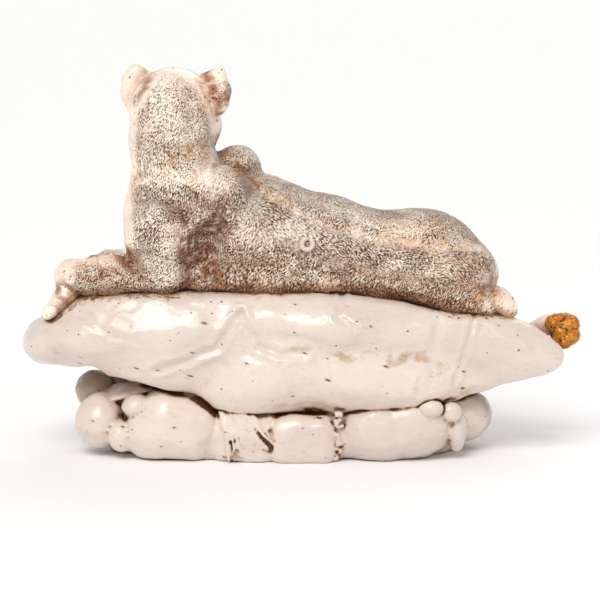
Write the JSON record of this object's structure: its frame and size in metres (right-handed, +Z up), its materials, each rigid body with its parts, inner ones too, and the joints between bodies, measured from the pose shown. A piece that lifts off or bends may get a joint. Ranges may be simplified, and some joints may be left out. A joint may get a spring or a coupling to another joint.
{
  "type": "tiger statue with cubs",
  "caption": "Cast resin tigress lying on a rock ledge over boulders, head raised and turned away, with cubs at her belly and a tufted tail.",
  "frame": {"origin": "on the ground, under the middle of the ring of boulders", "axes": "+X towards the tail along the ledge, +Y the way the tigress looks, +Z up"},
  "size_m": [0.3633, 0.135, 0.2512],
  "materials": {
    "resin": "cream lacquered cast resin with a dark brown wash rubbed into the carving"
  },
  "bodies": {
    "root": {"tiger_statue": "resin"}
  },
  "joints": []
}
